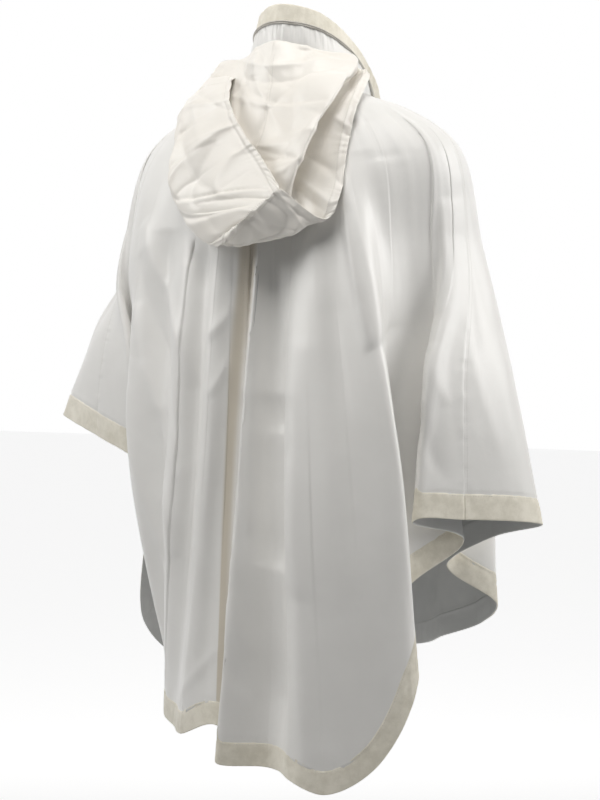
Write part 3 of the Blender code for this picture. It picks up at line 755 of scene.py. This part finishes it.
# The hood: two halves of shell, seamed from the nape over the crown to the forehead, with a
# narrow stitched hem round the opening. It lies down the back, rolled over at the left,
# folded double at the right and turned up at the bottom. HOOD gives its lines in mm.
HOOD = (
    # name, neck_seam, roll, upper, middle, lower, bottom, crown_seam
    ("left rim", (75, -8.5, 29.3),
     (68, 30, 27), (51, 77, 12), (31, 114, -18), (2, 134, -52), (-35, 152, -87),
     (-71, 170, -125)),
    ("left roll", (70.2, 6.8, 36),
     (94, 24, 37), (104, 54, 13), (118, 86, -27), (114, 116, -87), (80, 140, -150),
     (-48, 178, -145)),
    ("left back", (48.2, 41.7, 47),
     (53, 47, 39), (63, 63, 10), (64, 104, -42), (66, 117, -110), (46, 145, -188),
     (-21, 174, -165)),
    ("nape seam", (0, 61, 60.3),
     (-2, 74, 34), (-8, 90, -2), (-12, 116, -60), (0, 136, -120), (20, 150, -188),
     (8, 166, -184)),
    ("right fold", (-60.5, 27.2, 41.9),
     (-84, 12, 38), (-104, 76, 2), (-90, 121, -54), (-78, 146, -110), (-42, 150, -186),
     (-21, 174, -165)),
    ("fold return", (-72, 1.6, 34.1),
     (-82, 0, 24), (-78, 64, -4), (-66, 108, -62), (-60, 126, -118), (-84, 150, -176),
     (-48, 178, -145)),
    ("right rim", (-77.2, -20.4, 21.4),
     (-98, 0, 22), (-120, 70, -22), (-122, 97, -70), (-127, 127, -133), (-110, 142, -160),
     (-71, 170, -125)),
)
HOOD_STATIONS = (0.0, 0.09, 0.24, 0.42, 0.60, 0.82, 1.0)
HOOD_HEM = 10.0
HOOD_HALF = 0.6         # half the wall's thickness
HOOD_ROWS = 170
HOOD_SOFTNESS = 0.10
NAPE = 3                # the lines of the nape seam and of the two rims
LEFT_RIM, RIGHT_RIM = 0, 6
hood = Sheet([row[1:] for row in HOOD], HOOD_STATIONS, 0.6)

HOOD_CREASES = (
    # name, from_line, from_down, to_line, to_down, width, depth, bow, lip
    ("left side 1", 0.15, 0.22, 0.95, 0.34, 10, -2.8, 3, 0),
    ("left side 2", 0.10, 0.34, 0.98, 0.46, 12, 2.8, -3, 0),
    ("left side 3", 0.20, 0.44, 1.00, 0.60, 10, -2.8, 4, 0),
    ("left side 4", 0.10, 0.56, 0.95, 0.70, 12, 3.1, 2, 0),
    ("left side 5", 0.30, 0.62, 0.90, 0.86, 10, -3.1, -4, 0),
    ("left side 6", 0.15, 0.72, 0.70, 0.92, 12, 2.8, 4, 0),
    ("left side 7", 0.55, 0.30, 0.40, 0.62, 14, 2.5, 5, 0),
    ("left side 8", 0.75, 0.48, 0.55, 0.86, 14, -2.8, -5, 0),
    ("left side 9", 0.92, 0.55, 0.78, 0.90, 12, 3.1, 3, 0),
    ("crossing crease", 1.02, 0.72, 0.30, 0.97, 8, -3.4, 2, 0),
    ("crossing crease lip", 1.00, 0.75, 0.28, 0.99, 8, 2.8, 2, 0),
    ("bottom left 1", 1.20, 0.70, 0.95, 0.98, 12, -3.1, 3, 0),
    ("bottom left 2", 1.45, 0.78, 1.10, 0.99, 12, 3.1, -3, 0),
    ("inner top 1", 2.20, 0.12, 3.90, 0.14, 10, -3.1, 4, 0),
    ("inner top 2", 2.30, 0.20, 3.80, 0.16, 10, 2.8, -5, 0),
    ("inner middle 1", 2.10, 0.30, 3.70, 0.34, 10, -3.4, 6, 0),
    ("inner middle 2", 2.60, 0.26, 4.00, 0.32, 8, 2.8, -3, 0),
    ("inner middle 3", 2.20, 0.42, 3.60, 0.46, 10, -3.1, -5, 0),
    ("inner low 1", 2.40, 0.50, 3.80, 0.54, 10, 3.1, 4, 0),
    ("inner low 2", 2.60, 0.60, 3.70, 0.58, 10, -3.1, 5, 0),
    ("inner slant 1", 2.50, 0.16, 3.40, 0.44, 10, -2.8, 4, 0),
    ("inner slant 2", 3.50, 0.10, 2.80, 0.50, 10, 2.8, -4, 0),
    ("inner slant 3", 3.80, 0.36, 3.10, 0.68, 8, -2.8, 4, 0),
    ("right flap 1", 5.10, 0.30, 5.95, 0.36, 10, -2.8, 3, 0),
    ("right flap 2", 5.05, 0.44, 5.90, 0.52, 10, 2.8, -3, 0),
    ("right flap 3", 5.15, 0.56, 5.95, 0.66, 10, -3.1, 3, 0),
    ("right flap 4", 5.20, 0.70, 5.90, 0.78, 10, 2.8, 3, 0),
    ("right flap 5", 5.30, 0.62, 5.60, 0.92, 12, -3.1, -4, 0),
    ("right flap 6", 5.55, 0.40, 5.45, 0.74, 12, 2.8, 4, 0),
    ("bottom right 1", 4.20, 0.86, 5.50, 0.93, 10, -3.1, 3, 0),
    ("bottom right 2", 4.60, 0.80, 5.70, 0.88, 10, 2.8, -3, 0),
    ("neck roll 1", 3.90, 0.04, 4.10, 0.22, 10, -2.8, 2, 0),
    ("neck roll 2", 3.40, 0.03, 3.30, 0.18, 10, 2.5, 2, 0),
    ("neck roll 3", 2.50, 0.03, 2.60, 0.18, 10, -2.5, 2, 0),
)
HOOD_CRUMPLES = (
    # name, direction in radians, pitch in mm, phase, height in mm
    ("long across", 0.35, 36.0, 0.3, 3.0),
    ("long down", -0.75, 44.0, 1.1, -2.6),
    ("steep", 1.25, 39.0, 2.0, 2.7),
    ("steep the other way", -1.35, 48.0, 0.7, -2.6),
    ("short across", 0.05, 27.0, 2.6, -1.8),
    ("short slanting", 0.9, 30.0, 1.7, 1.8),
)
CRUMPLE_WIDTH = 11.0
LINE_GAP = 42.0         # mm, about, from one line of the hood to the next
HOOD_LENGTH = 235.0


def crumpled(x, y):
    """Sharp crease lines that wander, come and go, with flat facets between them."""
    height = np.zeros(np.shape(x))
    for _, direction, pitch, phase, size in HOOD_CRUMPLES:
        along = x * math.cos(direction) + y * math.sin(direction)
        aside = y * math.cos(direction) - x * math.sin(direction)
        path = aside / pitch + 0.3 * np.sin(along / (1.7 * pitch) + phase) + phase
        near = np.abs(np.sin(np.pi * path))
        shown = np.clip(np.sin(along / (0.75 * pitch) + 2.0 * phase) + 0.35, 0.0, 1.0)
        height += size * shown * np.exp(-near * pitch / CRUMPLE_WIDTH)
    return height


def hood_relief(u, t, across, down):
    """Sharp creases, crumples between them, the stitched hem and the seam's puckers, in mm."""
    height = creased(u, t, across, down, HOOD_CREASES, HOOD_SOFTNESS)
    height += crumpled(u * LINE_GAP, t * HOOD_LENGTH)
    height += 0.5 * wave(5.0 * u + 9.0 * t, 1.0) * wave(13.0 * t - 2.0 * u, 2.0)
    for edge in (LEFT_RIM, RIGHT_RIM):
        aside = np.abs(u - edge) * across
        hem = np.clip((HOOD_HEM - aside) / 2.0, 0.0, 1.0)
        height += 0.6 * hem + 0.8 * wave(t * down / 3.6, edge) * np.exp(-aside / 10.0)
        height -= 0.9 * np.exp(-((aside - HOOD_HEM) / 1.7) ** 2)
    aside = np.abs(u - NAPE) * across
    height += 0.4 * wave(t * down / 4.0, NAPE) * np.exp(-aside / 6.0)
    return height


def hood_half(name, first, last, node):
    """One half of the hood from the neck seam to just short of the crown seam."""
    columns = places(first, last, 2.2, hood, 0.5, 0, 14)
    stop = 1.0 - 1.0 / np.linalg.norm(hood.frame(columns, np.full(len(columns), 0.97))[3], axis=1)
    t = np.linspace(0.0, 1.0, HOOD_ROWS)[:, None] * stop[None, :]
    u = np.broadcast_to(columns[None, :], t.shape)
    points, normals = laid(hood, u, t, hood_relief)
    piece = cloth(name, points, normals, HOOD_HALF, hood_shell, hood_shell)
    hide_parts(node)
    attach(piece, "root")


# The hood's shell: the body's shell cloth painted lighter and warmer, a painted warm light that
# stands in for light bounced and passed between the hood's layers.
hood_shell = satin("shell_painted_warm_light", (0.90, 0.872, 0.82), (0.86, 0.825, 0.765), 0.34, 0.5, 0.1)
hood_half("shell_hood_left", LEFT_RIM, NAPE, "hood_left")
hood_half("shell_hood_right", NAPE, RIGHT_RIM, "hood_right")

# The seam over the crown is felled: the right half's turned edge, a narrow strip of the same
# shell, lies flat over the join and is stitched down on the left half.
STRIP_HALF = 0.5
STRIP_LIFT = 0.9        # mm above the middle of the hood's wall
STRIP_PLACES = 120
HOOD_END = 0.985        # where the hood's speed down to the crown seam is measured


def hood_edge(u, inward):
    """Points and normals on the hood, a number of mm up from the seam over the crown."""
    end = np.ones(len(u))
    speed = np.linalg.norm(hood.frame(u, end * HOOD_END)[3], axis=-1)
    return raised(hood, u, end - inward / speed, hood_relief)


left_u = np.linspace(0.02, 2.9, STRIP_PLACES)
right_places = np.linspace(3.1, 5.98, 400)
right_ends = hood.at(right_places, 1.0)
facing = [np.linalg.norm(right_ends - point, axis=1).argmin()
          for point in hood.at(left_u, np.ones(STRIP_PLACES))]
right_u = np.convolve(np.pad(right_places[facing], 6, mode="edge"), np.ones(13) / 13,
                      mode="valid")
rows = [hood_edge(left_u, inward) for inward in (5.0, 4.5, 3.0, 1.5, 0.0)]
rows += [hood_edge(right_u, inward) for inward in (0.5, 1.5, 3.0, 4.0)]
points = np.array([row[0] for row in rows])
normals = np.array([row[1] for row in rows])
points = points + normals * STRIP_LIFT
turn = np.cross(points[0, 1] - points[0, 0], points[1, 0] - points[0, 0])
if np.sum(turn * normals[0, 0]) < 0:
    points, normals = points[::-1], normals[::-1]
crown = cloth("shell_crown_seam", points, normals, STRIP_HALF, hood_shell, hood_shell)
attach(crown, "root")

# Sewing: topstitching beside the seams, along the bands and round the hood's hem, in off-white
# thread. Each stitch is one small raised bead between two needle holes.
STITCH_PITCH, STITCH_LENGTH, STITCH_RADIUS = 3.4, 2.3, 0.36
HOOD_PITCH, HOOD_STITCH = 3.0, 1.9
STITCH_SINK = 0.25      # mm by which a stitch's ends go into the cloth
BESIDE_SEAM = 3.5
BESIDE_EDGE = 2.6
thread = satin("thread", (0.70, 0.685, 0.63), (0.58, 0.565, 0.51), 0.6, 0.2, 0.1)
stitch_verts, stitch_faces = [], []


def stitches(sheet, relief, u, t, lift, pitch=STITCH_PITCH, length=STITCH_LENGTH):
    """Stitches along a route on a sheet, given by places across and down."""
    points, normals = raised(sheet, u, t, relief, lift)
    run = np.concatenate([[0.0], np.cumsum(np.linalg.norm(np.diff(points, axis=0), axis=1))])
    for start in np.arange(0.5 * pitch, run[-1] - length, pitch):
        ring = []
        for share, size in ((0.0, 0.45), (0.5, 1.0), (1.0, 0.45)):
            where = start + share * length
            centre = np.array([np.interp(where, run, points[:, k]) for k in range(3)])
            up = np.array([np.interp(where, run, normals[:, k]) for k in range(3)])
            ahead = np.array([np.interp(where + 0.5, run, points[:, k]) for k in range(3)])
            ahead = ahead - centre
            side = np.cross(up, ahead)
            side = side / max(np.linalg.norm(side), 1e-9)
            centre = centre - up * (0.0 if share == 0.5 else STITCH_SINK)
            ring.append([centre + STITCH_RADIUS * size * (math.cos(a) * side + math.sin(a) * up)
                         for a in (0.0, math.pi / 2, math.pi, 1.5 * math.pi)])
        base = len(stitch_verts)
        stitch_verts.extend(p for one in ring for p in one)
        for i in (0, 4):
            for j in range(4):
                k = (j + 1) % 4
                stitch_faces.append((base + i + j, base + i + k, base + i + 4 + k,
                                     base + i + 4 + j))
        stitch_faces.append((base + 3, base + 2, base + 1, base))
        stitch_faces.append((base + 8, base + 9, base + 10, base + 11))


def beside(sheet, edge, offset, t):
    """Places a number of mm to one side of a line."""
    u = np.full(len(t), float(edge))
    speed = np.linalg.norm(sheet.frame(u, t)[2], axis=-1)
    return u + offset / speed


down_back = np.linspace(0.04, 0.95, 400)
for seam, side in ((CENTRE_BACK, 1), (RIGHT_OVERARM, -1), (LEFT_OVERARM, 1)):
    u = beside(cape, seam, side * BESIDE_SEAM, down_back)
    t = down_back * band_top(u) / 0.955
    stitches(cape, cape_relief, u, t, SHELL_HALF)
hem_places = np.linspace(0.02, LAST_LINE - 0.02, 1500)
t = band_top(hem_places) + BESIDE_EDGE / step_across_hem(hem_places)
stitches(cape, lambda u, t, a, d: cape_relief(u, t, a, d) + band_puckers(u, t),
         hem_places, t, BAND_HALF)
for edge, side in ((0, 1), (LAST_LINE, -1)):
    t = np.linspace(0.01, 0.94, 300)
    u = beside(cape, edge, side * (FRONT_BAND - BESIDE_EDGE), t)
    stitches(cape, cape_relief, u, t, BAND_HALF)
for rim, side in ((LEFT_RIM, 1), (RIGHT_RIM, -1)):
    t = np.linspace(0.04, 0.985, 260)
    u = beside(hood, rim, side * (HOOD_HEM - 1.0), t)
    stitches(hood, hood_relief, u, t, side * HOOD_HALF, HOOD_PITCH, HOOD_STITCH)
t = np.linspace(0.06, 0.97, 260)
stitches(hood, hood_relief, beside(hood, NAPE, 3.0, t), t, -HOOD_HALF, HOOD_PITCH, HOOD_STITCH)
crown_ends = np.full(STRIP_PLACES, HOOD_END)
for inward in (4.0, 0.6):
    t = 1.0 - inward / np.linalg.norm(hood.frame(left_u, crown_ends)[3], axis=-1)
    stitches(hood, hood_relief, left_u, t, 1.5, HOOD_PITCH, HOOD_STITCH)
u = np.linspace(0.05, COLLAR_END - 0.05, 400)
stitches(collar, smooth_band, u, collar_drop(u, COLLAR_BAND - 2.4), BAND_HALF)
stitching = add_piece("stitching", np.array(stitch_verts) * MM, stitch_faces, (thread,))
stitching.data.uv_layers.new(name="lengths")
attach(stitching, "root")

# The studio: a plain pale floor that glows on its far part, a world that is bright only beyond
# the cape, soft lamps at both sides and above, and the camera behind the wearer's right.
FLOOR_Z = -1.45
FLOOR_GLOW = 0.75
CAMERA_PLACE = (-1.5, 2.598, -0.256)
CAMERA_AIM = (0.0, 0.0, -0.381)
LAMP_AIM = (0.0, 0.0, -0.35)
AWAY = (0.5, -0.866, 0.0)       # level direction from the camera to the cape

bpy.ops.mesh.primitive_plane_add(size=30.0, location=(0.0, 0.0, FLOOR_Z))
floor = bpy.context.object
floor.name = "floor"
pale = bpy.data.materials.new("pale_floor")
pale.use_nodes = True
Wire.tree = pale.node_tree
place = Wire.node("ShaderNodeTexCoord", "Object")
ground = Wire.node("ShaderNodeTexNoise", Vector=place, Scale=2.0, Detail=2.0)
shader = pale.node_tree.nodes["Principled BSDF"]
tone = blend(ground, (0.80, 0.80, 0.80, 1.0), (0.83, 0.83, 0.83, 1.0))
pale.node_tree.links.new(tone.socket, shader.inputs["Base Color"])
behind = Wire.node("ShaderNodeVectorMath", "Value", {"operation": "DOT_PRODUCT"},
                   _0=place, _1=AWAY)
glow = blend(ramp(behind, 0.6, 3.4), (0.0, 0.0, 0.0, 1.0), (1.0, 1.0, 1.0, 1.0))
pale.node_tree.links.new(glow.socket, shader.inputs["Emission Color"])
shader.inputs["Emission Strength"].default_value = FLOOR_GLOW
shader.inputs["Roughness"].default_value = 0.9
floor.data.materials.append(pale)

world = bpy.data.worlds.new("studio")
world.use_nodes = True
Wire.tree = world.node_tree
toward = Wire.node("ShaderNodeVectorMath", "Value", {"operation": "DOT_PRODUCT"},
                   _0=Wire.node("ShaderNodeTexCoord", "Generated"), _1=AWAY)
strength = ramp(toward, 0.35, 0.9) * 0.95 + 0.05
backdrop = world.node_tree.nodes["Background"]
world.node_tree.links.new(strength.socket, backdrop.inputs["Strength"])
backdrop.inputs["Color"].default_value = (1.0, 1.0, 1.0, 1.0)
bpy.context.scene.world = world
bpy.context.scene.view_settings.view_transform = "Standard"

LIGHTS = (
    # name, place, size, watts, colour
    ("above", (-0.3, 0.9, 1.7), 1.2, 30.0, (1.0, 0.985, 0.96)),
    ("right side", (-2.0, -0.7, 0.65), 1.3, 35.0, (1.0, 0.995, 0.985)),
    ("left side", (1.6, 1.3, 0.85), 1.3, 25.0, (1.0, 0.998, 0.99)),
)
for name, place, size, watts, colour in LIGHTS:
    data = bpy.data.lights.new(name, "AREA")
    data.shape = "SQUARE"
    data.size = size
    data.energy = watts
    data.color = colour
    lamp = bpy.data.objects.new(name, data)
    lamp.location = place
    direction = Vector(LAMP_AIM) - Vector(place)
    lamp.rotation_euler = direction.to_track_quat("-Z", "Y").to_euler()
    bpy.context.scene.collection.objects.link(lamp)

camera_data = bpy.data.cameras.new("camera")
camera_data.sensor_fit = "VERTICAL"
camera_data.sensor_height = 36.0
camera_data.lens = 108.09
camera = bpy.data.objects.new("camera", camera_data)
camera.location = CAMERA_PLACE
direction = Vector(CAMERA_AIM) - Vector(CAMERA_PLACE)
camera.rotation_euler = direction.to_track_quat("-Z", "Y").to_euler()
bpy.context.scene.collection.objects.link(camera)
bpy.context.scene.camera = camera

bpy.context.view_layer.update()
